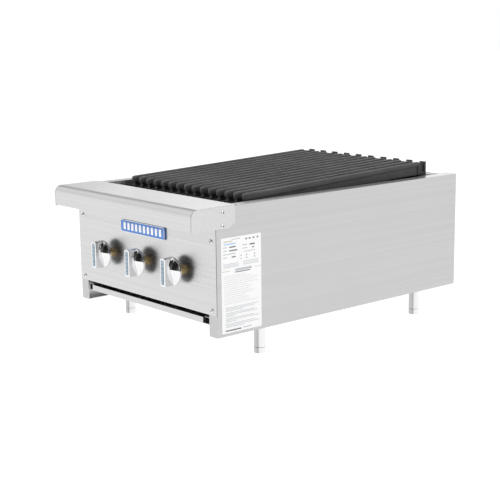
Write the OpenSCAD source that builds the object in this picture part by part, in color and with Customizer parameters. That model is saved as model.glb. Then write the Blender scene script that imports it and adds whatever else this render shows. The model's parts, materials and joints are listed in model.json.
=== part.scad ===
// Countertop charbroiler grill: three burners under five cast-iron grates, with a front ledge,
// three gas knobs, a pull-out drip tray and four levelling feet.
// X runs across the grill, Y from front to back and Z up. The origin is on the floor, below the
// middle of the box.
// In the modules, a "depth" is measured backwards from the face of the control panel.

/* [Body] */
// Width over the side panels
body_w = 457; // [450:1:480]
// Depth from the control panel's face to the back
body_d = 677; // [670:1:690]
// Height of the body without its legs
body_h = 245; // [240:1:260]
// Width of each hollow side wall, its inner liner included
side_w = 25.4; // [24:0.1:27]
// Thickness of the sheet steel
sheet = 1.2; // [0.9:0.1:1.5]

/* [Ledge] */
// How far the front ledge stands out from the control panel
ledge_out = 56; // [45:1:70]
// How far the ledge reaches back over the body
ledge_back = 50; // [40:1:52]
// Height of the ledge's front face
ledge_h = 40; // [32:1:45]
// Radius of the ledge's rolled nose
ledge_r = 15; // [8:1:20]
// Thickness of the ledge's sheet
ledge_t = 2; // [1.5:0.1:2]

/* [Cooking grates] */
// Width taken by one grate section
section_w = 77.6; // [76:0.1:78]
// Width of a grate bar
bar_w = 12.4; // [10:0.1:13]
// Height of a grate bar at its nose
nose_h = 15; // [13:0.5:16]
// Height of a grate bar at its back end
bar_h = 9.5; // [8:0.5:11]
// Length of the grate bars
bar_l = 498; // [480:1:500]
// How much higher the bars' tops lie at the back than at the front
bar_rise = 17; // [10:1:20]

/* [Controls] */
// Distance between neighbouring knobs, and between their burners
knob_pitch = 117; // [110:1:120]
// Height of the knobs' axes above the bottom of the body
knob_h = 114; // [110:1:118]
// Diameter of a knob
knob_d = 56; // [50:1:60]
// Length of a knob along its axis
knob_l = 24.4; // [20:0.1:28]
// Gap between a knob's rim and the control panel
knob_gap = 15.6; // [15:0.1:20]
// Width of the bar that is gripped on a knob
grip_w = 15; // [12:0.5:18]

/* [Gas] */
// Outside diameter of the 3/4 inch gas pipe
pipe_d = 26.7; // [26.6:0.1:26.8]
// Inside diameter of the gas pipe
pipe_bore = 20.9; // [18:0.1:22]
// How far the gas inlet stands out at the back
inlet_out = 25; // [20:1:40]
// Diameter of a burner tube
burner_d = 32; // [28:1:34]

/* [Drip tray] */
// Width of the drip tray
tray_w = 374; // [360:1:376]
// Length of the drip tray
tray_l = 640; // [600:1:642]
// Depth of the drip tray
tray_h = 11.5; // [10:0.5:14]

/* [Support] */
// Height of the legs, feet included
leg_h = 51; // [45:1:60]
// Diameter of a leg
leg_d = 22; // [20:0.5:23]
// Height of a foot that shows below its leg
foot_h = 12; // [10:1:14]

/* [Hidden] */
burners = [1:3];
sections = [1:5];
corners = ["front_left", "front_right", "rear_left", "rear_right"];
function numbered(name, numbers) = [for (i = numbers) str(name, "_", i)];
$fn = 48;

gap = 0.3;                                  // space between pieces that move past each other
fit = 0.05;                                 // radial clearance of a shaft in its bore
front_y = ledge_out - (ledge_out + body_d + inlet_out) / 2;
base_z = leg_h;
rim_z = base_z + body_h;
half_w = body_w / 2;
inner_x = half_w - side_w;
ledge_z = rim_z + ledge_t;
cap_t = 1.3;
cap_h = ledge_h + 2;
cap_depth = 46.5;
panel_bottom = base_z + 42;
baffle_bottom = base_z + 44;
panel_screw_x = half_w - 14.5;
panel_screw_z = [base_z + 51, base_z + 181.5];
ledge_screw_z = [ledge_z - 12, ledge_z - 37];
ledge_screw_depth = 17;
front_baffle_depth = 66;
rear_deck_depth = 645;
deck_drop = 25;
deck_r = 6;

grate_front = 106;
grate_end = grate_front + bar_l;
grate_foot = [rim_z - 10, rim_z];           // where the grates stand on their front and rear rests
nose_z = rim_z + 11;                        // the bars' tops at the front
bar_end_z = nose_z + bar_rise;
bar_pitch = section_w / 3;
section_half = bar_pitch + bar_w / 2;
web_w = bar_w - 6;
rest_w = 28;
lug_w = 16;
lug_t = 5;
lug_depth = grate_end + 21.5;
lug_x = section_w / 4;

axis_z = base_z + knob_h;
burner_end = 612;
burner_mouth = 56;
burner_t = 1.5;
shutter_back = front_baffle_depth - gap;
shutter_r = burner_d / 2 + gap;
window_w = 11;
valve_depth = 31;
valve_z = axis_z - 37;
stem_r = 3;
plug_r = 6;
radiant_w = 108;
radiant_h = 45;
radiant_z = base_z + 149;
supply_x = inner_x - 21;
socket_r = 17;                              // the elbow's outer radius
socket_start = 14;                          // how far the pipes' ends stay from the elbow's middle
thread_l = 20;
thread_cut = 0.4;

tray_z = base_z + 34 - tray_h;               // its top stays 34 mm above the body's bottom
rail_t = 1.2;
rail_x = tray_w / 2 + gap;
leg_x = half_w - 13;
leg_depths = [115.4, 559.5];
foot_r = 6;

steel = "lightgray";
dark_steel = "dimgray";
iron = "#3a3a3c";
brass = "goldenrod";

// Box between two corners, each given as [x, depth, height]
module slab(low, high) {
    translate([low[0], front_y + low[1], low[2]]) cube(high - low);
}

// Cylinder that runs backwards between two depths
module rod(x, z, r, depths) {
    translate([x, front_y + depths[0], z]) rotate([-90, 0, 0]) cylinder(r = r, h = depths[1] - depths[0]);
}

// Outline in depth and height, made as long as the two values of x
module across(xs) {
    translate([xs[0], front_y, 0]) rotate([90, 0, 90]) linear_extrude(xs[1] - xs[0]) children();
}

// Outline in x and height, made as long as the two depths
module backwards(depths) {
    translate([0, front_y + depths[1], 0]) rotate([90, 0, 0])
        linear_extrude(depths[1] - depths[0]) children();
}

// Outline in x and depth, made as high as the two heights
module upwards(heights) {
    translate([0, front_y, heights[0]]) linear_extrude(heights[1] - heights[0]) children();
}

module both_sides() {
    children();
    mirror([1, 0, 0]) children();
}

function burner_x(i) = (i - 2) * knob_pitch;
function section_x(i) = (i - 3) * section_w;
function span(middle, width) = [middle - width / 2, middle + width / 2];

// Body

// Outer skin with its four folded edges, open towards the liner
module side_panel() color(steel) difference() {
    slab([inner_x + sheet, sheet, base_z], [half_w, body_d - sheet, rim_z]);
    slab([inner_x, 2 * sheet, base_z + sheet], [half_w - sheet, body_d - 2 * sheet, rim_z - sheet]);
    for (z = panel_screw_z) rod(panel_screw_x, z, screw_hole_r, [0, 3 * sheet]);
    for (z = ledge_screw_z) side_screw_hole(z);
}

screw_hole_r = 2.2;
module side_screw_hole(z) {
    translate([half_w - 2 * sheet, front_y + ledge_screw_depth, z]) rotate([0, 90, 0])
        cylinder(r = screw_hole_r, h = 4 * sheet);
}

module liner() color(steel) {
    slab([inner_x, front_baffle_depth + 2 * sheet, base_z], [inner_x + sheet, body_d - sheet, rim_z]);
}

module rear_panel() color(steel) difference() {
    slab([-half_w, body_d - sheet, base_z], [half_w, body_d, rim_z]);
    rod(supply_x, valve_z, pipe_d / 2 + 2 * gap, [body_d - 2 * sheet, body_d + sheet]);
}

// Flat deck over the flue, with a rolled lip that turns down towards the fire
module rear_deck() color(steel) across([-inner_x, inner_x]) difference() {
    deck_outline(0);
    deck_outline(sheet);
}

// Side view of the deck, moved inwards by inset, without its open back and bottom
module deck_outline(inset) {
    corner = [rear_deck_depth + deck_r, rim_z - deck_r];
    end = body_d - sheet + inset;
    bottom = rim_z - deck_drop - inset;
    translate(corner) circle(deck_r - inset);
    translate([rear_deck_depth + inset, bottom])
        square([end - rear_deck_depth - inset, deck_drop - deck_r + inset]);
    translate([corner[0], bottom]) square([end - corner[0], deck_drop]);
}

module front_baffle() color(steel) difference() {
    union() {
        slab([-inner_x - sheet, front_baffle_depth, baffle_bottom],
             [inner_x + sheet, front_baffle_depth + sheet, rim_z - 8]);
        slab([-inner_x - sheet, ledge_back + 2, rim_z - 8 - sheet],
             [inner_x + sheet, front_baffle_depth + sheet, rim_z - 8]);
    }
    through = [front_baffle_depth - sheet, front_baffle_depth + 2 * sheet];
    for (i = burners) rod(burner_x(i), axis_z, burner_d / 2 + fit, through);
    for (i = burners) rod(burner_x(i) + pilot_x, valve_z, pilot_r + gap, through);
    rod(supply_x, valve_z, pipe_d / 2 + gap, through);
}

module rear_baffle() color(steel) difference() {
    slab([-inner_x, rear_deck_depth + sheet, baffle_bottom],
         [inner_x, rear_deck_depth + 2 * sheet, rim_z - deck_r]);
    rod(supply_x, valve_z, pipe_d / 2 + gap, [rear_deck_depth, body_d]);
}

// Front

module front_panel() color(steel) difference() {
    slab([-half_w, 0, panel_bottom], [half_w, sheet, rim_z]);
    for (i = burners) rod(burner_x(i), axis_z, bonnet_r + gap, [-sheet, 2 * sheet]);
    both_sides() for (z = panel_screw_z) rod(panel_screw_x, z, screw_hole_r, [-sheet, 2 * sheet]);
}

// Side view of the ledge, moved inwards by inset, without its open back and bottom
module ledge_outline(inset, height, depth) {
    corner = [ledge_r - ledge_out, ledge_z - ledge_r];
    translate(corner) circle(ledge_r - inset);
    translate([inset - ledge_out, ledge_z - height]) square([ledge_out, height - ledge_r]);
    translate([corner[0], ledge_z - height]) square([depth - corner[0], height - inset]);
}

module front_ledge() color(steel) {
    across([-half_w, half_w]) {
        difference() {
            ledge_outline(0, ledge_h, ledge_back);
            ledge_outline(ledge_t, ledge_h + 1, ledge_back + 1);
        }
        translate([-ledge_out, ledge_z - ledge_h]) square([14, ledge_t]);
    }
}

// End plate of the ledge, with its lower back corner cut off
module ledge_cap() color(steel) difference() {
    across([half_w, half_w + cap_t]) difference() {
        ledge_outline(0, cap_h, cap_depth);
        polygon([[cap_depth - 15, ledge_z - cap_h], [cap_depth + 1, ledge_z - cap_h - 1],
                 [cap_depth + 1, ledge_z - cap_h + 10]]);
    }
    for (z = ledge_screw_z) side_screw_hole(z);
}

// Pan-head screw with a cross recess, its head towards -Z and its thread towards +Z
module screw() {
    shank_r = 2;
    difference() {
        union() {
            translate([0, 0, -1.2]) cylinder(r = 4.5, h = 1.2);
            translate([0, 0, -2]) cylinder(r = 3.5, h = 1);
            cylinder(r = shank_r, h = 8);
        }
        for (turn = [0, 90]) rotate(turn) translate([-2.2, -0.4, -2.5]) cube([4.4, 0.8, 1.5]);
    }
}

module panel_screws() color("silver") both_sides() for (z = panel_screw_z) {
    translate([panel_screw_x, front_y, z]) rotate([-90, 0, 0]) screw();
}

module ledge_screws() color("silver") both_sides() for (z = ledge_screw_z) {
    translate([half_w + cap_t, front_y + ledge_screw_depth, z]) rotate([0, -90, 0]) screw();
}

// Plate with a raised rim, a little right of the middle
module nameplate() color("royalblue") translate([3, 0, 0]) difference() {
    plate_w = 146;
    plate_t = 3.5;
    plate_z = [base_z + 165.5, base_z + 190];
    rim = 1.6;
    slab([-plate_w / 2, -plate_t, plate_z[0]], [plate_w / 2, 0, plate_z[1]]);
    slab([rim - plate_w / 2, -plate_t - 1, plate_z[0] + rim],
         [plate_w / 2 - rim, 0.6 - plate_t, plate_z[1] - rim]);
}

module rating_label() color("white") slab([half_w, 12, base_z + 6], [half_w + 0.3, 109.5, base_z + 187]);

// Cooking grates

// Side view of one bar: it slopes up to the back from a round nose and gets thinner
module bar_outline() {
    nose_r = nose_h / 2;
    start = grate_front + nose_r;
    translate([start, nose_z - nose_r]) circle(nose_r);
    polygon([[start, nose_z - nose_h], [grate_end, bar_end_z - bar_h],
             [grate_end, bar_end_z], [start, nose_z]]);
}

// Side view of the web below a bar, with a flat foot at each end
module web_outline() {
    front = grate_front + 5;
    polygon([[front, grate_foot[0]], [front + rest_w, grate_foot[0]],
             [grate_end - rest_w, grate_foot[1]], [grate_end, grate_foot[1]],
             [grate_end, bar_end_z - bar_h / 2], [front, nose_z - nose_h / 2]]);
}

// One casting: three bars, four ribs between them, a wall across their ends and two lugs behind it,
// each on a rib of its own
module grate(i) color(iron) translate([section_x(i), 0, 0]) {
    for (k = [-1:1]) {
        across(span(k * bar_pitch, bar_w)) bar_outline();
        across(span(k * bar_pitch, web_w)) web_outline();
    }
    for (depth = [grate_front + 60 : 110 : grate_end - 100])
        slab([-bar_pitch, depth, grate_foot[1]], [bar_pitch, depth + 8, grate_foot[1] + 6]);
    slab([-section_half, grate_end - lug_t, grate_foot[1]], [section_half, grate_end, bar_end_z - 1.5]);
    slab([-bar_pitch, grate_end - 1, grate_foot[1]], [bar_pitch, lug_depth + 1, grate_foot[1] + lug_t]);
    for (x = [-lug_x, lug_x]) {
        slab([x - lug_w / 2, lug_depth, grate_foot[1]], [x + lug_w / 2, lug_depth + lug_t, bar_end_z - 1]);
        slab([x - lug_t / 2, grate_end - 1, grate_foot[1]], [x + lug_t / 2, lug_depth + 1, bar_end_z - 4]);
    }
}

// Angle iron with its flat on top, open towards the fire
module grate_rest(depth, flange_depth, foot_z) color(dark_steel) {
    flange_t = 3;
    top = foot_z - gap;
    slab([-inner_x, depth, top - flange_t], [inner_x, depth + rest_w, top]);
    slab([-inner_x, flange_depth, top - 24], [inner_x, flange_depth + flange_t, top]);
}

// Channels on the liners, each with two ears
module rest_brackets() color(steel) both_sides() for (depth = [77, 580]) difference() {
    slab([inner_x - 12, depth, rim_z - 32], [inner_x, depth + 17, rim_z - 3]);
    slab([inner_x - 13, depth + sheet, rim_z - 33], [inner_x - sheet, depth + 17 - sheet, rim_z]);
}

// Fire

// Roof-shaped plate over a burner
module radiant(i) color(iron) backwards([92, 622]) translate([burner_x(i), radiant_z]) difference() {
    polygon([[-radiant_w / 2, 0], [-5, radiant_h], [5, radiant_h], [radiant_w / 2, 0]]);
    polygon([[5 - radiant_w / 2, -0.01], [-3, radiant_h - 4],
             [3, radiant_h - 4], [radiant_w / 2 - 5, -0.01]]);
}

module radiant_rests() color(dark_steel) for (depth = [84, 606]) {
    slab([-inner_x, depth, radiant_z - 3], [inner_x, depth + 20, radiant_z]);
}

// Four windows round a burner's mouth, drawn as two crossed boxes
module mouth_windows(i, depths) {
    for (turn = [0, 90]) translate([burner_x(i), front_y, axis_z]) rotate([0, turn, 0])
        translate([-window_w / 2, depths[0], -burner_d])
            cube([window_w, depths[1] - depths[0], 2 * burner_d]);
}

module burner(i) color("gray") difference() {
    rod(burner_x(i), axis_z, burner_d / 2, [burner_mouth, burner_end]);
    rod(burner_x(i), axis_z, burner_d / 2 - burner_t, [burner_mouth - 1, burner_end - burner_t]);
    mouth_windows(i, [burner_mouth + 2, burner_mouth + 7]);
}

module air_shutter(i) color("silver") difference() {
    rod(burner_x(i), axis_z, shutter_r + 2, [burner_mouth, shutter_back]);
    rod(burner_x(i), axis_z, shutter_r, [burner_mouth - 1, shutter_back + 1]);
    mouth_windows(i, [burner_mouth + 2, burner_mouth + 7]);
}

module burner_rest() color(dark_steel) {
    slab([-inner_x, 596, axis_z - burner_d / 2 - 3], [inner_x, 606, axis_z - burner_d / 2]);
}

// Gas

bonnet_r = 8;
nut_r = 10;
stub_r = 7;
pilot_x = 26;
pilot_r = 3.2;

// Brass body with its inlet stub, its bonnet through the panel and the bore for the stem
module valve(i) color(brass) translate([burner_x(i), 0, 0]) difference() {
    union() {
        slab([-11, 16, axis_z - 12], [11, 44, axis_z + 12]);
        rod(0, axis_z, bonnet_r, [-5, 18]);
        translate([0, front_y - 12.5, axis_z]) rotate([-90, 0, 0]) cylinder(r = nut_r, h = 8, $fn = 6);
        translate([0, front_y + valve_depth, valve_z + pipe_bore / 2]) cylinder(r = stub_r, h = 20);
    }
    rod(0, axis_z, stem_r + fit, [-14, 8]);
    rod(0, axis_z, plug_r + fit, [6, 34]);
}

module valve_stem(i) color(brass) {
    rod(burner_x(i), axis_z, stem_r, [-knob_gap - 12, 7]);
    rod(burner_x(i), axis_z, plug_r, [6.3, 33.7]);
}

module orifice_hoods() color(brass) for (i = burners) {
    rod(burner_x(i), axis_z, 7, [44, 49]);
    rod(burner_x(i), axis_z, 5, [48, 60]);
}

module manifold() color(dark_steel) difference() {
    ends = [burner_x(1) - 28, supply_x - socket_start];
    translate([ends[0], front_y + valve_depth, valve_z]) rotate([0, 90, 0])
        cylinder(d = pipe_d, h = ends[1] - ends[0]);
    translate([ends[0] + 4, front_y + valve_depth, valve_z]) rotate([0, 90, 0])
        cylinder(d = pipe_bore, h = ends[1] - ends[0]);
    for (i = burners) {
        translate([burner_x(i), front_y + valve_depth, valve_z]) cylinder(r = stub_r + fit, h = pipe_d);
        rod(burner_x(i) + pilot_x, valve_z, pilot_r + fit, [valve_depth, valve_depth + pipe_d]);
    }
}

module gas_elbow() color(dark_steel) translate([supply_x, front_y + valve_depth, valve_z]) difference() {
    socket_l = 24;
    union() {
        sphere(r = socket_r);
        for (turn = [[0, -90, 0], [-90, 0, 0]]) rotate(turn) cylinder(r = socket_r, h = socket_l);
    }
    for (turn = [[0, -90, 0], [-90, 0, 0]]) rotate(turn) {
        translate([0, 0, socket_start]) cylinder(d = pipe_d, h = socket_l);
        cylinder(d = pipe_bore, h = socket_l);
    }
    sphere(d = pipe_bore);
}

// Pipe from the elbow to the gas inlet at the back, whose last stretch is cut back for its thread
module supply_pipe() color(dark_steel) difference() {
    end = body_d + inlet_out;
    union() {
        rod(supply_x, valve_z, pipe_d / 2, [valve_depth + socket_start, end - thread_l]);
        rod(supply_x, valve_z, pipe_d / 2 - thread_cut, [end - thread_l - 1, end]);
    }
    rod(supply_x, valve_z, pipe_bore / 2, [0, end + 1]);
}

module pilot_valves() color(brass) for (i = burners) {
    start = valve_depth + pipe_bore / 2;
    rod(burner_x(i) + pilot_x, valve_z, pilot_r, [start, start + 8]);
    translate([burner_x(i) + pilot_x, front_y + start + 6, valve_z]) rotate([-90, 0, 0])
        cylinder(r = 6, h = 12, $fn = 6);
}

// Thin tube from a pilot valve back to the burner and up beside it, with a flame hood on its end
module pilot_tubes() color("silver") for (i = burners) {
    start = valve_depth + pipe_bore / 2 + 18;
    bend_depth = 100;
    bend_r = 12;
    x = burner_x(i) + pilot_x;
    rod(x, valve_z, pilot_r, [start, bend_depth]);
    translate([x, front_y + bend_depth, valve_z + bend_r]) rotate([0, 90, 0])
        rotate_extrude(angle = 90) translate([bend_r, 0]) circle(pilot_r);
    translate([x, front_y + bend_depth + bend_r, valve_z + bend_r]) {
        cylinder(r = pilot_r, h = 40);
        translate([0, 0, 36]) cylinder(r = 5, h = 12);
    }
}

// Knobs

// Domed disc with a bar across it to grip
module knob(i) color("gainsboro") translate([burner_x(i), front_y - knob_gap, axis_z]) rotate([90, 0, 0]) {
    r = knob_d / 2;
    rim_h = 4.5;
    dome_h = 10;
    dome_r = (r * r + dome_h * dome_h) / (2 * dome_h);
    hub_h = 2.4;
    difference() {
        union() {
            cylinder(r1 = r - 1, r2 = r, h = 1);
            translate([0, 0, 1]) cylinder(r = r, h = rim_h - 1);
            intersection() {
                translate([0, 0, rim_h + dome_h - dome_r]) sphere(dome_r);
                cylinder(r = r - 0.5, h = knob_l);
            }
            intersection() {
                translate([0, 0, 1.5]) cylinder(r1 = r - 0.2, r2 = r - 1, h = knob_l - 1.5);
                translate([-grip_w / 2, -r, 1.5]) cube([grip_w, knob_d, knob_l - 1.5]);
            }
            translate([0, 0, -hub_h]) cylinder(r = 8, h = hub_h + 1);
        }
        translate([0, 0, -hub_h - 1]) cylinder(r = stem_r + fit / 2, h = hub_h + 13);
    }
}

module knob_strip(i) color("steelblue") {
    x = burner_x(i);
    depth = -knob_gap - knob_l;
    slab([x - grip_w / 2 + 3.5, depth - 0.4, axis_z - 23.5], [x + grip_w / 2 - 3.5, depth, axis_z + 23.5]);
}

// Drip tray

module drip_tray() color(steel) {
    top = tray_z + tray_h;
    half = tray_w / 2;
    hem = 12;
    difference() {
        slab([-half, 0, tray_z], [half, tray_l, top]);
        slab([sheet - half, sheet, tray_z + sheet], [half - sheet, tray_l - sheet, top + 1]);
    }
    upwards([top - sheet, top]) polygon([[-half, 0], [half, 0], [half - hem, hem], [hem - half, hem]]);
}

// C-shaped channels on the liners; the tray slides on their lower flanges
module tray_rails() color(steel) both_sides() difference() {
    top = tray_z + tray_h + rail_t;
    slab([rail_x - 10, 3 * sheet, tray_z - gap - rail_t], [inner_x, rear_deck_depth, top]);
    slab([rail_x - 11, 0, tray_z - gap], [inner_x - rail_t, body_d, top - rail_t]);
    slab([rail_x - 11, 0, tray_z], [rail_x, body_d, top + 1]);
}

// Support

module at_corners() for (x = [-leg_x, leg_x], depth = leg_depths) {
    translate([x, front_y + depth, 0]) children();
}

// Tube with a threaded insert in its lower end
module legs() color("silver") at_corners() difference() {
    insert_h = 8;
    translate([0, 0, foot_h + gap]) cylinder(d = leg_d, h = leg_h - foot_h - gap);
    translate([0, 0, foot_h]) cylinder(r = foot_r + fit, h = leg_h);
    translate([0, 0, foot_h + insert_h]) cylinder(d = leg_d - 3, h = leg_h);
}

module foot(x, depth) color("silver") translate([x, front_y + depth, 0]) {
    r = leg_d / 2;
    rotate_extrude() polygon([[0, 0], [r - 1, 0], [r, 1], [r, foot_h], [0, foot_h]]);
    cylinder(r = foot_r, h = leg_h - 2);
}

mirror([1, 0, 0]) side_panel();  // left_side_panel
side_panel();  // right_side_panel
mirror([1, 0, 0]) liner();  // left_liner
liner();  // right_liner
rear_panel();
rear_deck();
front_baffle();
rear_baffle();
front_panel();
front_ledge();
mirror([1, 0, 0]) ledge_cap();  // ledge_left_cap
ledge_cap();  // ledge_right_cap
ledge_screws();
panel_screws();
nameplate();
rating_label();
grate_rest(112, 112, grate_foot[0]);  // front_grate_rest
grate_rest(600, 625, grate_foot[1]);  // rear_grate_rest
rest_brackets();
radiant_rests();
burner_rest();
manifold();
gas_elbow();
supply_pipe();
orifice_hoods();
pilot_valves();
pilot_tubes();
drip_tray();
tray_rails();
legs();
for (i = sections) grate(i);
for (i = burners) radiant(i);
for (i = burners) burner(i);
for (i = burners) air_shutter(i);
for (i = burners) valve(i);
for (i = burners) valve_stem(i);
for (i = burners) knob(i);
for (i = burners) knob_strip(i);
foot(-leg_x, leg_depths[0]);  // foot_front_left
foot(leg_x, leg_depths[0]);  // foot_front_right
foot(-leg_x, leg_depths[1]);  // foot_rear_left
foot(leg_x, leg_depths[1]);  // foot_rear_right
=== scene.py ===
"""Looks of the countertop charbroiler grill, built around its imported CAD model.

Lengths are in metres. X runs across the grill, Y from front to back and Z up from the floor.
"""
import json
import math
from random import Random

import bmesh
import bpy
from mathutils import Matrix, Vector


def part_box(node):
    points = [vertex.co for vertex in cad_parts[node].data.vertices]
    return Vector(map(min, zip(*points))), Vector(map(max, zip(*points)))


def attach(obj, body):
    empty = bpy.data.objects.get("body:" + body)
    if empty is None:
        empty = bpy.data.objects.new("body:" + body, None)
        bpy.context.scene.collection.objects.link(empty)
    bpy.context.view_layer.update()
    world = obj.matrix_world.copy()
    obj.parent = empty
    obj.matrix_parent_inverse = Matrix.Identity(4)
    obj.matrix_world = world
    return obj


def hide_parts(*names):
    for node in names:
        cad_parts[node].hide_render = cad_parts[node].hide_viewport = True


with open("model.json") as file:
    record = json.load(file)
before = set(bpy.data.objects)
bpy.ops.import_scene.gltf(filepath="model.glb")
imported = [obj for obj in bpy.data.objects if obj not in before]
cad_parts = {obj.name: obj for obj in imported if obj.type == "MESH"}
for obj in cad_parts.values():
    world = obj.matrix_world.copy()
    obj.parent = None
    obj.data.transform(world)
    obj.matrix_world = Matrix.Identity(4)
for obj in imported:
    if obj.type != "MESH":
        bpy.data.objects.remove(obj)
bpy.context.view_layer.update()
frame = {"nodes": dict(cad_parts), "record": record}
nodes = frame["nodes"]
slot_of_node = {part["node"]: part["material_slot"] for part in frame["record"]["subparts"]}

MM = 0.001
BURNERS = (1, 2, 3)
SECTIONS = (1, 2, 3, 4, 5)
SIDES = {"left": -1, "right": 1}


# Materials

class Nodes:
    """Short calls that add and link nodes in a shader tree."""

    def __init__(self, tree):
        self.tree = tree

    def set(self, node, values):
        """Sets a node's sockets by name, and its properties where it has no such socket."""
        for key, value in values.items():
            socket = node.inputs.get(key.replace("_", " "))
            if socket is None:
                setattr(node, key, value)
            else:
                socket.default_value = value

    def add(self, kind, links=None, **values):
        """Adds a node, sets its sockets and properties, and links sockets of other nodes into it."""
        node = self.tree.nodes.new("ShaderNode" + kind)
        self.set(node, values)
        for key, source in (links or {}).items():
            self.tree.links.new(source, node.inputs[key])
        return node

    def place(self, scale=(1, 1, 1)):
        """Scaled places on the object, which are the row frame's where the object has no location."""
        coordinates = self.add("TexCoord")
        mapping = self.add("Mapping", {"Vector": coordinates.outputs["Object"]}, Scale=scale)
        return mapping.outputs["Vector"]

    def noise(self, vector, scale, detail=3.0, roughness=0.5):
        """Soft random values, finer with a larger scale."""
        node = self.add("TexNoise", {"Vector": vector}, Scale=scale, Detail=detail, Roughness=roughness)
        return node.outputs["Fac"]

    def ramp(self, factor, stops):
        """A colour ramp through (position, grey or colour) stops."""
        node = self.add("ValToRGB", {"Fac": factor})
        elements = node.color_ramp.elements
        while len(elements) < len(stops):
            elements.new(0.5)
        for element, (position, value) in zip(elements, stops):
            element.position = position
            element.color = (*value, 1) if isinstance(value, tuple) else (value, value, value, 1)
        return node.outputs["Color"]

    def mix(self, factor, first, second, blend="MIX"):
        """Colour between two, each a colour, a number or another node's socket."""
        node = self.add("Mix", data_type="RGBA", blend_type=blend)
        for socket, value in ((node.inputs[0], factor), (node.inputs[6], first), (node.inputs[7], second)):
            if isinstance(value, bpy.types.NodeSocket):
                self.tree.links.new(value, socket)
            elif isinstance(value, tuple):
                socket.default_value = (*value, 1)
            else:
                socket.default_value = value
        return node.outputs[2]

    def bump(self, height, distance, strength, under=None):
        """Surface direction over a height map, on top of another bump if there is one."""
        links = {"Height": height}
        if under is not None:
            links["Normal"] = under
        return self.add("Bump", links, Distance=distance, Strength=strength).outputs["Normal"]


class Shader(Nodes):
    """A material around the standard surface shader."""

    def __init__(self, name, **surface):
        self.material = bpy.data.materials.new(name)
        self.material.use_nodes = True
        super().__init__(self.material.node_tree)
        self.surface = self.tree.nodes["Principled BSDF"]
        self.set(self.surface, surface)

    def finish(self, **sources):
        """Links sockets into the surface shader and hands over the material."""
        for key, source in sources.items():
            self.tree.links.new(source, self.surface.inputs[key.replace("_", " ")])
        return self.material


def scaled(color, factor):
    """Every part of a colour times a factor."""
    return tuple(part * factor for part in color)


# Painted shade: the dark of the gap where the front ledge meets its end caps.
JOINT_SHADE = (0.09, 0.09, 0.09)


def brushed_steel(name, color, grain, roughness, joint=None):
    """Sheet steel with fine scratches along one axis, faint smudges and a little waviness.

    With a joint, the steel is painted dark where it is farther than that from the middle plane: painted
    shade for the gap where the ledge meets its end caps.
    """
    shader = Shader(name, Metallic=1.0)
    along, across, broader = 6, 1500, 1 / 8
    scale = tuple(along if axis == grain else across for axis in "XYZ")
    broad_scale = tuple(part * broader for part in scale)
    scratches = shader.noise(shader.place(scale), 1.0, detail=2)
    broad = shader.noise(shader.place(broad_scale), 1.0, detail=2)
    smudges = shader.noise(shader.place(), 7, detail=4)
    low, high = scaled(color, 0.95), scaled(color, 1.03)
    tone = shader.ramp(broad, [(0.3, low), (0.7, high)])
    tone = shader.mix(shader.ramp(smudges, [(0.35, 0.0), (0.75, 0.3)]), tone, low)
    shine = shader.ramp(scratches, [(0.25, roughness * 0.85), (0.75, roughness * 1.2)])
    shine = shader.mix(shader.ramp(smudges, [(0.3, 0.0), (0.8, 0.5)]), shine, (roughness * 1.25,) * 3)
    # Painted shade for the gap at the joint: darker beyond it.
    if joint:
        x = shader.add("SeparateXYZ", {"Vector": shader.place()}).outputs["X"]
        distance = shader.add("Math", {0: x}, operation="ABSOLUTE").outputs[0]
        dark = shader.add("Math", {0: distance}, operation="GREATER_THAN")
        dark.inputs[1].default_value = joint
        tone = shader.mix(dark.outputs[0], tone, JOINT_SHADE)
    normal = shader.bump(scratches, 0.012 * MM, 0.3, shader.bump(smudges, 0.6 * MM, 0.12))
    return shader.finish(Base_Color=tone, Roughness=shine, Normal=normal)


def cast_iron():
    """Seasoned cast iron: sandy surface, pits, and paler wear on what stands up."""
    shader = Shader("cast_iron", Metallic=0.15, Specular_IOR_Level=0.2)
    at = shader.place()
    sand = shader.noise(at, 900, detail=3, roughness=0.7)
    lumps = shader.noise(at, 120, detail=3)
    patches = shader.noise(at, 14, detail=4)
    tone = shader.ramp(patches, [(0.3, (0.07, 0.07, 0.072)), (0.7, (0.098, 0.098, 0.1))])
    speck = shader.ramp(sand, [(0.62, 0.0), (0.74, 1.0)])
    tone = shader.mix(speck, tone, (0.17, 0.17, 0.175))
    shine = shader.ramp(lumps, [(0.3, 0.48), (0.7, 0.66)])
    normal = shader.bump(sand, 0.25 * MM, 0.7, shader.bump(lumps, 0.5 * MM, 0.5))
    return shader.finish(Base_Color=tone, Roughness=shine, Normal=normal)


def black_steel():
    """Dark mill scale with a faint brown cast where it has been hot."""
    shader = Shader("black_steel", Metallic=0.6)
    at = shader.place()
    scale = shader.noise(at, 60, detail=5)
    fine = shader.noise(at, 700, detail=2)
    tone = shader.ramp(scale, [(0.35, (0.045, 0.045, 0.048)), (0.65, (0.085, 0.078, 0.072))])
    shine = shader.ramp(fine, [(0.3, 0.42), (0.7, 0.6)])
    return shader.finish(Base_Color=tone, Roughness=shine, Normal=shader.bump(fine, 0.05 * MM, 0.6))


def dull_steel():
    """Aluminised steel, spangled and a little heat-stained."""
    shader = Shader("dull_steel", Metallic=0.9)
    at = shader.place()
    spangle = shader.add("TexVoronoi", {"Vector": at}, Scale=260).outputs["Distance"]
    stain = shader.noise(at, 22, detail=4)
    tone = shader.ramp(stain, [(0.35, (0.42, 0.42, 0.43)), (0.7, (0.36, 0.31, 0.26))])
    shine = shader.ramp(spangle, [(0.2, 0.4), (0.8, 0.55)])
    return shader.finish(Base_Color=tone, Roughness=shine, Normal=shader.bump(spangle, 0.03 * MM, 0.4))


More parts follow.
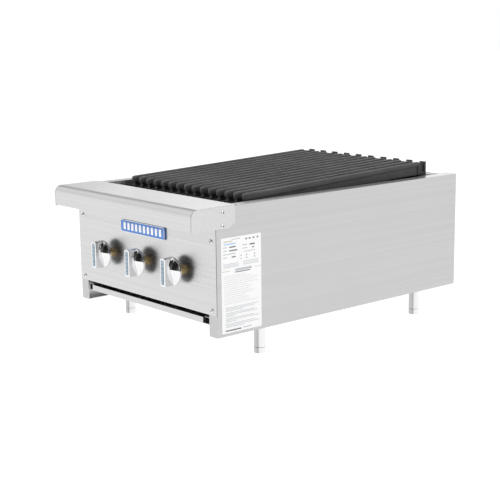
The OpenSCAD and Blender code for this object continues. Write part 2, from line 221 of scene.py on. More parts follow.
def brass():
    """Turned brass with faint tool rings and a darker tarnish."""
    shader = Shader("brass", Metallic=0.25)
    at = shader.place()
    rings = shader.add("TexWave", {"Vector": at}, Scale=160, bands_direction="Y").outputs["Fac"]
    tarnish = shader.noise(at, 90, detail=4)
    tone = shader.ramp(tarnish, [(0.35, (0.86, 0.58, 0.24)), (0.65, (1.0, 0.8, 0.42))])
    shine = shader.ramp(tarnish, [(0.3, 0.3), (0.7, 0.2)])
    return shader.finish(Base_Color=tone, Roughness=shine, Normal=shader.bump(rings, 0.04 * MM, 0.4))


def polished(name, color, roughness):
    """Bright plated metal with a few faint smears."""
    shader = Shader(name, Metallic=1.0)
    at = shader.place()
    smears = shader.noise(at, 45, detail=3)
    ripple = shader.noise(at, 110, detail=1)
    low = scaled(color, 0.92)
    tone = shader.ramp(smears, [(0.35, low), (0.7, color)])
    shine = shader.ramp(smears, [(0.3, roughness), (0.8, roughness * 2.2)])
    return shader.finish(Base_Color=tone, Roughness=shine, Normal=shader.bump(ripple, 0.05 * MM, 0.2))


def tube_with_painted_reflection(name, color, shade, roughness):
    """Bright drawn tube with fine lines along it, and a painted reflection: a dark band painted down its
    front and its back, where the surface faces along Y.
    """
    shader = Shader(name, Metallic=1.0)
    lines = shader.noise(shader.place((900, 900, 12)), 1.0, detail=2)
    coordinates = shader.add("TexCoord")
    parts = shader.add("SeparateXYZ", {"Vector": coordinates.outputs["Normal"]})
    facing = shader.add("Math", {0: parts.outputs["Y"]}, operation="ABSOLUTE")
    # Painted reflection: darker where the surface faces front or back, whatever the lamps.
    painted_reflection = shader.ramp(facing.outputs[0], [(0.72, 0.0), (0.84, 1.0), (0.97, 0.75)])
    low = scaled(color, 0.96)
    tone = shader.ramp(lines, [(0.3, low), (0.7, color)])
    tone = shader.mix(painted_reflection, tone, shade)
    shine = shader.ramp(lines, [(0.3, roughness), (0.7, roughness * 1.3)])
    return shader.finish(Base_Color=tone, Roughness=shine, Normal=shader.bump(lines, 0.01 * MM, 0.3))


def print_ink(name, color, roughness=0.35, variation=0.08):
    """Ink, enamel or foil with a little unevenness and a gloss coat."""
    shader = Shader(name, Coat_Weight=0.3, Coat_Roughness=0.15)
    at = shader.place()
    mottle = shader.noise(at, 180, detail=3)
    low = scaled(color, 1 - variation)
    tone = shader.ramp(mottle, [(0.35, low), (0.7, color)])
    shine = shader.ramp(mottle, [(0.3, roughness), (0.8, roughness * 1.3)])
    return shader.finish(Base_Color=tone, Roughness=shine, Normal=shader.bump(mottle, 0.01 * MM, 0.3))


STEEL = (0.63, 0.63, 0.635)
# Painted shade: the side panels' steel is darker than the front's, for the way light falls on the sides.
SHADED_SIDE_STEEL = (0.555, 0.555, 0.56)
# Where the ledge's painted gap shade begins, just short of its ends.
LEDGE_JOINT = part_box("front_ledge")[1].x - 0.7 * MM
MATERIALS = {
    "steel_x": brushed_steel("brushed_steel_x", STEEL, "X", 0.27),
    "ledge_steel": brushed_steel("ledge_steel", STEEL, "X", 0.27, LEDGE_JOINT),
    "steel_y": brushed_steel("brushed_steel_y", SHADED_SIDE_STEEL, "Y", 0.33),
    "inner_steel": brushed_steel("inner_steel", (0.6, 0.6, 0.6), "Z", 0.34),
    "screw_steel": polished("screw_steel", (0.84, 0.84, 0.85), 0.16),
    # The legs' steel has a painted reflection, a dark band down their front and back.
    "leg_steel": tube_with_painted_reflection("leg_steel", (0.84, 0.84, 0.845), (0.4, 0.4, 0.41), 0.25),
    "chrome": polished("chrome", (0.86, 0.86, 0.87), 0.035),
    "tube_aluminium": polished("tube_aluminium", (0.72, 0.72, 0.73), 0.26),
    "cast_iron": cast_iron(),
    "black_steel": black_steel(),
    "burner_steel": dull_steel(),
    "brass": brass(),
    "badge_rim": print_ink("badge_rim", (0.86, 0.87, 0.88), 0.3),
    "badge_blue": print_ink("badge_blue", (0.06, 0.2, 0.58), 0.22, 0.12),
    "label": print_ink("label_foil", (0.94, 0.94, 0.945), 0.4, 0.03),
    "ink_grey": print_ink("ink_grey", (0.52, 0.54, 0.56), 0.5),
    "ink_dark": print_ink("ink_dark", (0.16, 0.17, 0.18), 0.5),
    "ink_tan": print_ink("ink_tan", (0.62, 0.58, 0.42), 0.5),
    "ink_pale": print_ink("ink_pale", (0.76, 0.77, 0.78), 0.5),
    "ink_blue": print_ink("ink_blue", (0.36, 0.6, 0.86), 0.5),
    "knob_print": print_ink("knob_print", (0.07, 0.17, 0.25), 0.3),
}
STAINLESS = {"left_side_panel": "steel_y", "right_side_panel": "steel_y", "front_ledge": "ledge_steel"}


# Mesh tools

WELD_GAP = 0.002 * MM
FLAT_ANGLE = math.radians(0.4)             # faces closer than this to one plane become one face
SMOOTH_ANGLE = math.radians(34)            # edges above this stay sharp
ROUNDED_ANGLE = math.radians(40)           # edges above this are rounded


def smooth_by_angle_group():
    """Modifier nodes that shade faces smoothly and keep edges above the smooth angle sharp."""
    group = bpy.data.node_groups.new("smooth_by_angle", "GeometryNodeTree")
    group.interface.new_socket("Geometry", in_out="INPUT", socket_type="NodeSocketGeometry")
    group.interface.new_socket("Geometry", in_out="OUTPUT", socket_type="NodeSocketGeometry")
    add = group.nodes.new
    start, end = add("NodeGroupInput"), add("NodeGroupOutput")
    faces, edges = add("GeometryNodeSetShadeSmooth"), add("GeometryNodeSetShadeSmooth")
    edges.domain = "EDGE"
    edges.inputs["Shade Smooth"].default_value = False
    angle, compare = add("GeometryNodeInputMeshEdgeAngle"), add("FunctionNodeCompare")
    compare.operation = "GREATER_THAN"
    compare.inputs["B"].default_value = SMOOTH_ANGLE
    for source, target in ((start.outputs[0], faces.inputs["Geometry"]),
                           (faces.outputs[0], edges.inputs["Geometry"]),
                           (angle.outputs[0], compare.inputs["A"]),
                           (compare.outputs[0], edges.inputs["Selection"]),
                           (edges.outputs[0], end.inputs[0])):
        group.links.new(source, target)
    return group


SMOOTH_BY_ANGLE = smooth_by_angle_group()


def soften(thing, bevel, segments=3):
    """Rounds a thing's sharp edges and shades the rest smoothly, with modifiers only."""
    weld = thing.modifiers.new("weld", "WELD")
    weld.merge_threshold = WELD_GAP
    if bevel:
        flatten = thing.modifiers.new("flatten", "DECIMATE")
        flatten.decimate_type = "DISSOLVE"
        flatten.angle_limit = FLAT_ANGLE
        edge = thing.modifiers.new("edge", "BEVEL")
        edge.width = bevel
        edge.segments = segments
        edge.limit_method = "ANGLE"
        edge.angle_limit = ROUNDED_ANGLE
    shade = thing.modifiers.new("shade", "NODES")
    shade.node_group = SMOOTH_BY_ANGLE
    flat = thing.modifiers.new("flat", "WEIGHTED_NORMAL")
    flat.weight = 100
    flat.keep_sharp = True


def piece(name, mesh, material, body, replaces=(), location=(0, 0, 0), bevel=0.0):
    """A new object from a mesh or bmesh, riding on a body."""
    if isinstance(mesh, bmesh.types.BMesh):
        bmesh.ops.recalc_face_normals(mesh, faces=mesh.faces)
        data = bpy.data.meshes.new(name)
        mesh.to_mesh(data)
        mesh.free()
        mesh = data
    mesh.materials.clear()
    mesh.materials.append(MATERIALS[material])
    thing = bpy.data.objects.new(name, mesh)
    bpy.context.scene.collection.objects.link(thing)
    thing.location = location
    soften(thing, bevel)
    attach(thing, body)
    if replaces:
        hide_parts(*replaces)
    return thing


def spaced(first, last, count):
    """Evenly spaced numbers from the first to the last."""
    return [first + (last - first) * k / (count - 1) for k in range(count)]


def loft(rings):
    """Closed skin through rings of points, with a flat face on each end."""
    bm = bmesh.new()
    loops = [[bm.verts.new(point) for point in ring] for ring in rings]
    for loop, following in zip(loops, loops[1:]):
        for k in range(len(loop)):
            m = (k + 1) % len(loop)
            bm.faces.new((loop[k], loop[m], following[m], following[k]))
    bm.faces.new(loops[0])
    bm.faces.new(list(reversed(loops[-1])))
    bmesh.ops.recalc_face_normals(bm, faces=bm.faces)
    return bm


def block(low, high, bevel=0.0):
    """Box between two corners, with rounded edges if it has a bevel."""
    bm = bmesh.new()
    bmesh.ops.create_cube(bm, size=1)
    low, high = Vector(low), Vector(high)
    for vert in bm.verts:
        vert.co = (low + high) / 2 + Vector(a * b for a, b in zip(vert.co, high - low))
    if bevel:
        bmesh.ops.bevel(bm, geom=bm.edges, offset=bevel, segments=3, profile=0.5, affect="EDGES")
    return bm


def ring(outline, w, axis):
    """Outline's points at w along the X or Y axis. Each point is the other two coordinates in order."""
    return [(w, u, v) if axis == "X" else (u, w, v) for u, v in outline]


def prism(outline, low, high, axis):
    """Outline pushed along an axis."""
    return loft([ring(outline, w, axis) for w in (low, high)])


def fuse(parts, cuts=()):
    """One mesh from overlapping closed parts, less the cuts."""
    things = []
    for part in [*parts, *cuts]:
        data = bpy.data.meshes.new("part")
        part.to_mesh(data)
        part.free()
        thing = bpy.data.objects.new("part", data)
        bpy.context.scene.collection.objects.link(thing)
        things.append(thing)
    whole = things[0]
    for k, thing in enumerate(things[1:], 1):
        step = whole.modifiers.new("step", "BOOLEAN")
        step.operation = "UNION" if k < len(parts) else "DIFFERENCE"
        step.solver = "EXACT"
        step.object = thing
    bpy.context.view_layer.update()
    mesh = bpy.data.meshes.new_from_object(whole.evaluated_get(bpy.context.evaluated_depsgraph_get()))
    for thing in things:
        bpy.data.objects.remove(thing)
    return mesh


def rounded(low, high, radius, steps=4):
    """Outline of a rectangle between two corners, with round corners."""
    points = []
    for k in range(4):
        centre = (low[0] + radius if k in (1, 2) else high[0] - radius,
                  low[1] + radius if k in (2, 3) else high[1] - radius)
        for turn in spaced(k * math.pi / 2, (k + 1) * math.pi / 2, steps + 1):
            points.append((centre[0] + radius * math.cos(turn), centre[1] + radius * math.sin(turn)))
    return points


def ring_prism(outer, inner, low, high, axis):
    """Prism between two outlines with the same number of points."""
    bm = bmesh.new()
    ends = (outer, low), (outer, high), (inner, high), (inner, low)
    rows = [[bm.verts.new(point) for point in ring(outline, w, axis)] for outline, w in ends]
    for k, first in enumerate(rows):
        second = rows[(k + 1) % 4]
        for n in range(len(outer)):
            m = (n + 1) % len(outer)
            bm.faces.new((first[n], first[m], second[m], second[n]))
    return bm


def join(parts):
    """One bmesh holding separate closed parts."""
    whole = bmesh.new()
    for part in parts:
        data = bpy.data.meshes.new("part")
        part.to_mesh(data)
        part.free()
        whole.from_mesh(data)
        bpy.data.meshes.remove(data)
    return whole


def placed(mesh, turn, place):
    """A copy of a mesh as a bmesh, turned about the vertical axis by an angle and moved."""
    copy = bmesh.new()
    copy.from_mesh(mesh)
    copy.transform(Matrix.Translation(place) @ Matrix.Rotation(math.radians(turn), 4, "Z"))
    return copy


# Cooking grates

BAR_W, BAR_L = 12.4 * MM, 498 * MM
BAR_PITCH = 77.6 / 3 * MM
NOSE_H, BAR_H = 15 * MM, 9.5 * MM
NOSE_Z, BAR_END_Z = 21 * MM, 38 * MM      # tops of the bars above the front feet
REAR_FOOT_Z = 10 * MM
FOOT_L = 28 * MM
WEB_W = 6.4 * MM
LUG_X, LUG_W, LUG_T = 19.4 * MM, 16 * MM, 5 * MM
TIES, TIE_Y, TIE_PITCH, TIE_L, TIE_H = 4, 60 * MM, 110 * MM, 8 * MM, 6 * MM


def superellipse(half_w, half_h, power, count):
    """Points of a rounded rectangle, as (across, up) pairs."""
    points = []
    for k in range(count):
        turn = 2 * math.pi * (k + 0.5) / count
        c, s = math.cos(turn), math.sin(turn)
        points.append((half_w * math.copysign(abs(c) ** (2 / power), c),
                       half_h * math.copysign(abs(s) ** (2 / power), s)))
    return points


def cast_bar(x):
    """Sloping bar with a rounded section and a fingertip nose."""
    nose, tip = NOSE_H / 2, BAR_W / 2
    stations = [(nose * (1 - math.cos(turn)), 1.0) for turn in spaced(0.18, math.pi / 2, 9)]
    stations += [(s, 1.0) for s in spaced(nose, BAR_L - 1.5 * MM, 10)[1:]]
    stations += [(BAR_L - 0.5 * MM, 0.96), (BAR_L, 0.86)]
    rings = []
    for s, shrink in stations:
        along = max(s - nose, 0) / (BAR_L - nose)
        top = NOSE_Z + (BAR_END_Z - NOSE_Z) * along
        height = NOSE_H + (BAR_H - NOSE_H) * along
        round_h = math.sqrt(1 - max(1 - s / nose, 0) ** 2)
        round_w = math.sqrt(1 - max(1 - s / tip, 0) ** 2)
        section = superellipse(BAR_W / 2 * round_w * shrink, height / 2 * round_h * shrink, 3.8, 28)
        rings.append([(x + u, s, top - height / 2 + v) for u, v in section])
    return loft(rings)


def grate_casting(length):
    """One grate section about its own middle, nose at y 0 and front feet at z 0.

    Parts that meet keep their faces a fraction of a millimetre apart, so that they fuse cleanly.
    """
    parts = [cast_bar(k * BAR_PITCH) for k in (-1, 0, 1)]
    half = BAR_PITCH + BAR_W / 2
    start, end = 5 * MM, BAR_L - 1.2 * MM
    for k in (-1, 0, 1):
        x = k * BAR_PITCH
        side = [(start, 0), (start + FOOT_L, 0), (BAR_L - FOOT_L, REAR_FOOT_Z), (end, REAR_FOOT_Z),
                (end, BAR_END_Z - BAR_H / 2), (start, NOSE_Z - NOSE_H / 2)]
        parts.append(prism(side, x - WEB_W / 2, x + WEB_W / 2, "X"))
    for k in range(TIES):
        y = TIE_Y + TIE_PITCH * k
        parts.append(block((-BAR_PITCH, y, REAR_FOOT_Z),
                           (BAR_PITCH, y + TIE_L, REAR_FOOT_Z + TIE_H), 1.5 * MM))
    parts.append(block((-half + 0.3 * MM, BAR_L - LUG_T, REAR_FOOT_Z + 0.2 * MM),
                       (half - 0.3 * MM, BAR_L - 0.3 * MM, BAR_END_Z - 1.5 * MM), 1.2 * MM))
    parts.append(block((-BAR_PITCH, BAR_L - 3 * MM, REAR_FOOT_Z + 0.3 * MM),
                       (BAR_PITCH, length - 1 * MM, REAR_FOOT_Z + LUG_T), 1 * MM))
    for x in (-LUG_X, LUG_X):
        parts.append(block((x - LUG_W / 2, length - LUG_T, REAR_FOOT_Z),
                           (x + LUG_W / 2, length, BAR_END_Z - 1 * MM), 1.3 * MM))
        parts.append(block((x - LUG_T / 2, BAR_L - 2 * MM, REAR_FOOT_Z + 0.1 * MM),
                           (x + LUG_T / 2, length - 2 * MM, BAR_END_Z - 4 * MM), 1 * MM))
    return fuse(parts)


def grates():
    """Five castings from one mesh, on the CAD grates' places."""
    low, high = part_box("grate_1")
    casting = grate_casting(high.y - low.y)
    for i in SECTIONS:
        low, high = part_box(f"grate_{i}")
        place = ((low.x + high.x) / 2, low.y, low.z)
        piece(f"grate_casting_{i}", casting, "cast_iron", f"grate_section_{i}",
              [f"grate_{i}"], place)


# Nameplate, rating label and knob strips

def nameplate():
    """Blue enamel plate with a pale rim and a plain row of bars."""
    low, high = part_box("nameplate")
    front = low.y + 0.5 * MM
    outer = rounded((low.x, low.z), (high.x, high.z), 3.2 * MM)
    inner = rounded((low.x + 1 * MM, low.z + 1 * MM), (high.x - 1 * MM, high.z - 1 * MM), 2.3 * MM)
    piece("nameplate_plate", prism(outer, front, high.y, "Y"), "badge_blue", "body", ["nameplate"],
          bevel=0.25 * MM)
    piece("nameplate_rim", ring_prism(outer, inner, low.y, front, "Y"), "badge_rim", "body")
    middle, bar_w, pitch, margin = (low.x + high.x) / 2, 7.4 * MM, 13.2 * MM, 5 * MM
    bars = []
    for k in range(10):
        x = middle + (k - 4.5) * pitch
        shape = rounded((x - bar_w / 2, low.z + margin), (x + bar_w / 2, high.z - margin), 2 * MM)
        bars.append(prism(shape, low.y + 0.1 * MM, front, "Y"))
    piece("nameplate_bars", join(bars), "badge_rim", "body")


INK_T = 0.05 * MM


def label_marks():
    """Print on the rating label, as plain bars: (ink, front end, rear end, drop from the top, height).

    Lengths are shares of the label's own width and height.
    """
    ragged = Random(5)
    marks = [("ink_grey", 0.26, 0.47, 0.02, 0.008), ("ink_tan", 0.06, 0.28, 0.035, 0.012),
             ("ink_blue", 0.06, 0.36, 0.062, 0.012)]
    marks += [("ink_dark", at, at + 0.045, 0.03, 0.016) for at in (0.6, 0.69, 0.79, 0.89)]
    for drop, start, end in ((0.095, 0.2, 0.36), (0.132, 0.2, 0.4), (0.2, 0.26, 0.36)):
        marks.append(("ink_dark", start, end, drop, 0.013))
    marks += [("ink_grey", 0.05, 0.14, drop, 0.009) for drop in (0.095, 0.132, 0.167, 0.2)]
    marks += [("ink_grey", 0.16, 0.36, 0.167, 0.009), ("ink_grey", 0.57, 0.85, 0.165, 0.008)]
    marks += [("ink_grey", 0.53, 0.65, drop, 0.009) for drop in (0.095, 0.13)]
    marks += [("ink_dark", 0.71, 0.84, 0.095, 0.015), ("ink_dark", 0.77, 0.82, 0.13, 0.012)]
    for drop in (0.2, 0.23):
        marks += [("ink_grey", 0.47, 0.51, drop, 0.01)]
        marks += [("ink_dark", at, at + 0.025, drop, 0.012) for at in (0.62, 0.82)]
    for k in range(3):
        marks.append(("ink_grey", 0.05, ragged.uniform(0.3, 0.48), 0.272 + 0.016 * k, 0.006))
        marks.append(("ink_grey", 0.54, ragged.uniform(0.85, 0.95), 0.268 + 0.016 * k, 0.006))
    marks += [("ink_tan", 0.01, 0.22, 0.345, 0.006), ("ink_tan", 0.83, 0.99, 0.345, 0.006)]
    marks += [("ink_grey", 0.34, 0.76, 0.335, 0.022), ("ink_dark", 0.34, 0.72, 0.365, 0.01)]
    for k in range(14):
        marks.append(("ink_pale", 0.06, ragged.uniform(0.6, 0.95), 0.4 + 0.022 * k, 0.007))
    for group in range(4):
        for line in range(3):
            end = ragged.uniform(0.3, 0.6) if line == 2 else ragged.uniform(0.8, 0.95)
            marks.append(("ink_grey", 0.09, end, 0.73 + 0.057 * group + 0.016 * line, 0.006))
    marks += [("ink_dark", 0.09, 0.48, 0.968, 0.014), ("ink_grey", 0.52, 0.74, 0.966, 0.01)]
    return marks


def rating_label():
    """Foil label with round corners and plain bars of print."""
    low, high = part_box("rating_label")
    face = high.x - INK_T
    foil = prism(rounded((low.y, low.z), (high.y, high.z), 1.5 * MM), low.x, face, "X")
    piece("rating_label_foil", foil, "label", "body", ["rating_label"])
    inks = {}
    for ink, start, end, drop, height in label_marks():
        size = high - low
        top = high.z - size.z * drop
        corners = (low.y + size.y * start, top - size.z * height), (low.y + size.y * end, top)
        inks.setdefault(ink, []).append(prism(rounded(*corners, 0.3 * MM, 2), face, high.x, "X"))
    for ink, bars in inks.items():
        piece(f"rating_label_{ink}", join(bars), ink, "body")


KNOB_R, KNOB_L, KNOB_RIM_H, KNOB_DOME_H = 28 * MM, 24.4 * MM, 4.5 * MM, 10 * MM
KNOB_HUB_R, KNOB_HUB_H = 8 * MM, 2.4 * MM
GRIP_HALF, GRIP_EDGE, GRIP_TAPER = 7.5 * MM, 0.8 * MM, 0.8 * MM


def turned(profile, count=80):
    """Body of revolution about the Y axis, from (radius, distance to the front) pairs."""
    turns = [2 * math.pi * k / count for k in range(count)]
    return loft([[(r * math.cos(a), -h, r * math.sin(a)) for a in turns] for r, h in profile])


def knob_disc():
    """Hub, rim and dome of a knob, about its axis and ahead of its back plane."""
    dome_r = (KNOB_R ** 2 + KNOB_DOME_H ** 2) / (2 * KNOB_DOME_H)
    sunk = dome_r - KNOB_DOME_H - KNOB_RIM_H
    profile = [(KNOB_HUB_R, -KNOB_HUB_H), (KNOB_HUB_R, 0), (KNOB_R - 1 * MM, 0),
               (KNOB_R - 0.3 * MM, 0.3 * MM), (KNOB_R, 1 * MM), (KNOB_R, KNOB_RIM_H - 0.6 * MM),
               (KNOB_R - 0.2 * MM, KNOB_RIM_H - 0.1 * MM)]
    for r in spaced(KNOB_R - 0.7 * MM, 0.4 * MM, 16):
        profile.append((r, math.sqrt(dome_r ** 2 - r ** 2) - sunk))
    return turned(profile)


def knob_grip():
    """Bar across a knob, slightly narrower towards its front, with a rounded front edge."""
    def outline(radius, half):
        reach = math.asin(half / radius)
        turns = [side + swing for side in (math.pi / 2, -math.pi / 2) for swing in spaced(-reach, reach, 9)]
        return [(radius * math.cos(turn), radius * math.sin(turn)) for turn in turns]

    stations = [(1.6 * MM, 0.0), (KNOB_L - GRIP_EDGE, 0.0)]
    for turn in spaced(0, math.pi / 2, 5)[1:]:
        stations.append((KNOB_L - GRIP_EDGE * (1 - math.sin(turn)), GRIP_EDGE * (1 - math.cos(turn))))
    rings = []
    for h, inset in stations:
        radius = KNOB_R - 0.2 * MM - GRIP_TAPER * h / KNOB_L - inset
        rings.append([(x, -h, z) for x, z in outline(radius, GRIP_HALF - inset)])
    return loft(rings)


def knobs():
    """Chrome shell of each knob, and a dark ring at its back: painted shade for the shaded inside of its
    hollow back.
    """
    shape = fuse([knob_disc(), knob_grip()])
    for i in BURNERS:
        low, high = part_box(f"knob_{i}")
        place = ((low.x + high.x) / 2, high.y - KNOB_HUB_H, (low.z + high.z) / 2)
        body = f"knob_assembly_{i}"
        piece(f"knob_shell_{i}", shape, "chrome", body, [f"knob_{i}"], place)
        # Painted shade: a dark ring where the hollow back of the knob would be in shade.
        back = turned([(KNOB_R - 1.7 * MM, -0.4 * MM), (KNOB_R - 1.4 * MM, 0.2 * MM)])
        piece(f"knob_back_shade_{i}", back, "black_steel", body, location=place)


def knob_strips():
    """Printed strip on each knob's grip, with a column of plain pale marks."""
    for i in BURNERS:
        low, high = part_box(f"knob_strip_{i}")
        front = low.y + 0.1 * MM
        plate = prism(rounded((low.x, low.z), (high.x, high.z), 1.5 * MM), front, high.y, "Y")
        body = f"knob_assembly_{i}"
        piece(f"knob_strip_plate_{i}", plate, "knob_print", body, [f"knob_strip_{i}"])
        marks = []
        for k in range(6):
            z = low.z + (high.z - low.z) * (k + 0.5) / 6
            x = (low.x + high.x) / 2
            shape = rounded((x - 2.3 * MM, z - 2.9 * MM), (x + 2.3 * MM, z + 2.9 * MM), 1.9 * MM)
            hole = rounded((x - 1.6 * MM, z - 2.2 * MM), (x + 1.6 * MM, z + 2.2 * MM), 1.3 * MM)
            marks.append(ring_prism(shape, hole, low.y, front, "Y"))
        piece(f"knob_strip_marks_{i}", join(marks), "badge_rim", body)


# Screws, and the painted shade of the panel's edge seam

HEAD_R, HEAD_H, SHANK_R, SHANK_L = 4.5 * MM, 2 * MM, 2 * MM, 8 * MM
HEAD_EDGE = 0.25                           # share of the head's height that is its straight edge
SLOT_L, SLOT_W, SLOT_DEPTH = 5.6 * MM, 1.3 * MM, 1.1 * MM


def slots(low, high):
    """Two crossed boxes ahead of a screw's seat, between two distances from it."""
    half_l, half_w = SLOT_L / 2, SLOT_W / 2
    return [block((-a, -high, -b), (a, -low, b)) for a, b in ((half_l, half_w), (half_w, half_l))]


def screws():
    """Pan-head screws with cross recesses, on the control panel and on the ledge's ends, with dark crosses
    in the recesses as painted shade.
    """
    profile = [(SHANK_R, -SHANK_L), (SHANK_R, 0), (HEAD_R, 0), (HEAD_R, HEAD_EDGE * HEAD_H)]
    for turn in spaced(0.2, 1.5, 9):
        rise = HEAD_EDGE + (1 - HEAD_EDGE) * math.sin(turn)
        profile.append((HEAD_R * math.cos(turn), HEAD_H * rise))
    head = fuse([turned(profile, 40)], slots(HEAD_H - SLOT_DEPTH, 2 * HEAD_H))
    floor = HEAD_H - SLOT_DEPTH
    # Painted shade: dark crosses just above the floor of each recess.
    shade_cross = fuse(slots(floor + 0.02 * MM, floor + 0.25 * MM))
    seat_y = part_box("front_panel")[0].y
    low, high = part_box("panel_screws")
    heights = (low.z + HEAD_R, high.z - HEAD_R)
    places = {"panel": [(0, (x, seat_y, z)) for x in (low.x + HEAD_R, high.x - HEAD_R) for z in heights]}
    low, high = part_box("ledge_screws")
    heights = (low.z + HEAD_R, high.z - HEAD_R)
    places["ledge"] = [(turn, (x, low.y + HEAD_R, z))
                       for turn, x in ((-90, low.x + HEAD_H), (90, high.x - HEAD_H)) for z in heights]
    for name, spots in places.items():
        piece(f"{name}_screw_heads", join([placed(head, *spot) for spot in spots]), "screw_steel",
              "body", [f"{name}_screws"])
        piece(f"{name}_screw_recess_shades", join([placed(shade_cross, *spot) for spot in spots]), "black_steel",
              "body")


SEAM_PROUD = 0.06 * MM


def seam_shade_strips():
    """Painted shade: a thin dark strip on the control panel's edge on each side of the box, for the shade
    in the seam there.
    """
    low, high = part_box("front_panel")
    for side, sign in SIDES.items():
        edge = high.x if sign > 0 else low.x
        proud = edge + sign * SEAM_PROUD
        strip = block((min(edge, proud), low.y + 0.1 * MM, low.z), (max(edge, proud), high.y, high.z))
        piece(f"panel_edge_shade_{side}", strip, "black_steel", "body")


# Studio

VIEW_ANGLES = (49.39, 11.18, -0.65)        # degrees right of the front, up, and rolled
VIEW_PLACE = (1.8773, -1.6544, 0.6371)
VIEW_SENSOR, VIEW_LENS = 36, 85.1          # millimetres


def camera():
    """Three-quarter view from the front right, a little above the grill, as in the photograph."""
    azimuth, elevation, roll = (math.radians(angle) for angle in VIEW_ANGLES)
    back = Vector((math.sin(azimuth) * math.cos(elevation), -math.cos(azimuth) * math.cos(elevation),
                   math.sin(elevation)))
    level = Vector((math.cos(azimuth), math.sin(azimuth), 0))
    rise = back.cross(level)
    right = level * math.cos(roll) + rise * math.sin(roll)
    up = rise * math.cos(roll) - level * math.sin(roll)
    eye = bpy.data.objects.new("camera", bpy.data.cameras.new("camera"))
    bpy.context.scene.collection.objects.link(eye)
    turn = Matrix((right, up, back)).transposed().to_4x4()
    eye.matrix_world = Matrix.Translation(VIEW_PLACE) @ turn
    eye.data.sensor_width = VIEW_SENSOR
    eye.data.lens = VIEW_LENS
    bpy.context.scene.camera = eye


def softbox(name, place, target, size, power):
    """Rectangular lamp that faces a target."""
    data = bpy.data.lights.new(name, "AREA")
    data.shape = "RECTANGLE"
    data.size, data.size_y = size
    data.energy = power
    lamp = bpy.data.objects.new(name, data)
    bpy.context.scene.collection.objects.link(lamp)
    lamp.location = place
    lamp.rotation_euler = (Vector(target) - Vector(place)).to_track_quat("-Z", "Y").to_euler()
    return lamp


# Brightness at shares of the way up the sky, with the horizon at 0.5, and towards the front and the back.
SKY_BY_HEIGHT = ((0.0, 0.95), (0.5, 1.25), (0.58, 1.15), (0.72, 0.55), (1.0, 0.8))
FRONT, FRONT_STOPS = (0.55, -0.83, 0.1), ((0.35, 1.0), (0.62, 0.02), (0.9, 0.02), (0.97, 0.12))
BACK, BACK_STOPS = (-0.5, 0.866, 0), ((0.6, 1.0), (0.84, 0.62), (0.93, 1.5), (1.0, 1.7))


def sky():
    """What the steel reflects: bright at the horizon and the back, dim above it, dark in front.

    The camera itself sees plain white.
    """
    world = bpy.data.worlds.new("studio")
    bpy.context.scene.world = world
    world.use_nodes = True
    tree = world.node_tree
    build = Nodes(tree)
    direction = build.add("TexCoord").outputs["Generated"]
    height = build.add("SeparateXYZ", {"Vector": direction}).outputs["Z"]
    rise = build.add("MapRange", {"Value": height}, From_Min=-1).outputs["Result"]
    light = build.ramp(rise, SKY_BY_HEIGHT)
    for aim, stops in ((FRONT, FRONT_STOPS), (BACK, BACK_STOPS)):
        towards = build.add("VectorMath", {0: direction}, operation="DOT_PRODUCT")
        towards.inputs[1].default_value = aim
        light = build.mix(1.0, light, build.ramp(towards.outputs["Value"], stops), "MULTIPLY")
    reflected = tree.nodes["Background"]
    tree.links.new(light, reflected.inputs["Color"])
    seen = build.add("Background", Color=(1, 1, 1, 1))
    straight = build.add("LightPath").outputs["Is Camera Ray"]
    choose = build.add("MixShader", {0: straight, 1: reflected.outputs[0], 2: seen.outputs[0]})
    tree.links.new(choose.outputs[0], tree.nodes["World Output"].inputs["Surface"])


# Softboxes: place, target, size and watts
LAMPS = {
    "key": ((-2.4, -1.3, 2.4), (0, 0, 0.2), (2.8, 2.2), 8),
    "side": ((2.6, -0.2, 1.6), (0, 0, 0.2), (1.6, 1.6), 22),
    "top": ((0, -0.3, 2.6), (0, -0.1, 0.2), (2.2, 1.6), 24),
    "fill": ((-0.9, -2.6, 1.0), (0, 0, 0.25), (1.6, 1.2), 40),
}
UNMIRRORED = ("fill",)                     # lights the front, and steel does not reflect it
FLOOR_REACH, FLOOR_GAP = 15, 0.2 * MM      # half its side, and how far it lies below the feet


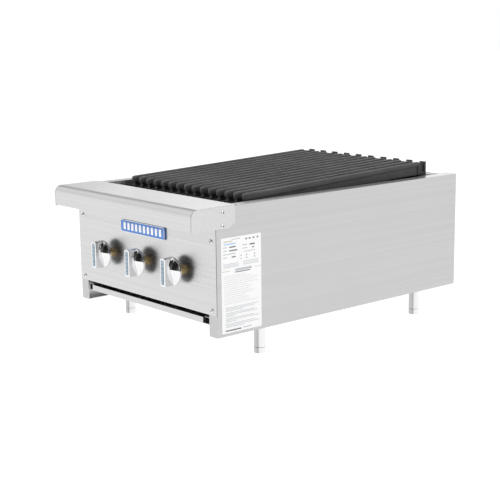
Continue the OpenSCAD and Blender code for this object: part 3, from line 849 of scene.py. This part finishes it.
def studio():
    """The sky, the softboxes and a white floor."""
    sky()
    for name, settings in LAMPS.items():
        lamp = softbox(name, *settings)
        lamp.visible_glossy = name not in UNMIRRORED
    floor = bpy.data.objects.new("floor", bpy.data.meshes.new("floor"))
    bm = bmesh.new()
    bmesh.ops.create_grid(bm, x_segments=1, y_segments=1, size=FLOOR_REACH)
    bm.to_mesh(floor.data)
    bm.free()
    floor.location = (0, 0, -FLOOR_GAP)
    shader = Shader("floor", Roughness=0.9, Specular_IOR_Level=0.1, Emission_Strength=1.1)
    mottle = shader.noise(shader.place(), 30)
    base = shader.ramp(mottle, [(0.3, 0.05), (0.7, 0.06)])
    glow = shader.ramp(mottle, [(0.3, 0.97), (0.7, 0.98)])
    shader.finish(Base_Color=base, Emission_Color=glow)
    floor.data.materials.append(shader.material)
    bpy.context.scene.collection.objects.link(floor)
    bpy.context.scene.view_settings.view_transform = "Standard"


# CAD nodes that keep their shape

# Width of the rounding along the sharp edges of each slot's nodes
EDGE_ROUNDING = {
    "stainless": 0.5 * MM, "inner_steel": 0.25 * MM, "screw_steel": 0.3 * MM, "leg_steel": 0.5 * MM,
    "badge": 0.3 * MM, "label": 0.0, "black_steel": 0.5 * MM, "cast_iron": 0.8 * MM,
    "burner_steel": 0.2 * MM, "brass": 0.5 * MM, "tube_aluminium": 0.0, "chrome": 0.5 * MM,
    "knob_print": 0.1 * MM,
}
NODE_MATERIAL = {"badge": "badge_rim"}     # slots with no material of their own name
LEFT_SHARP = ("drip_tray",)                # its rim is a thin ring, too narrow to round


def dress_nodes():
    """Gives every CAD node its material and its rounded edges."""
    for name, thing in nodes.items():
        slot = slot_of_node[name]
        material = NODE_MATERIAL.get(slot, slot)
        if slot == "stainless":
            material = STAINLESS.get(name, "steel_x")
        thing.data.materials.clear()
        thing.data.materials.append(MATERIALS[material])
        if "custom_normal" in thing.data.attributes:
            thing.data.attributes.remove(thing.data.attributes["custom_normal"])
        soften(thing, 0.0 if name in LEFT_SHARP else EDGE_ROUNDING[slot], 2)


camera()
dress_nodes()
grates()
nameplate()
rating_label()
knobs()
knob_strips()
screws()
seam_shade_strips()
studio()
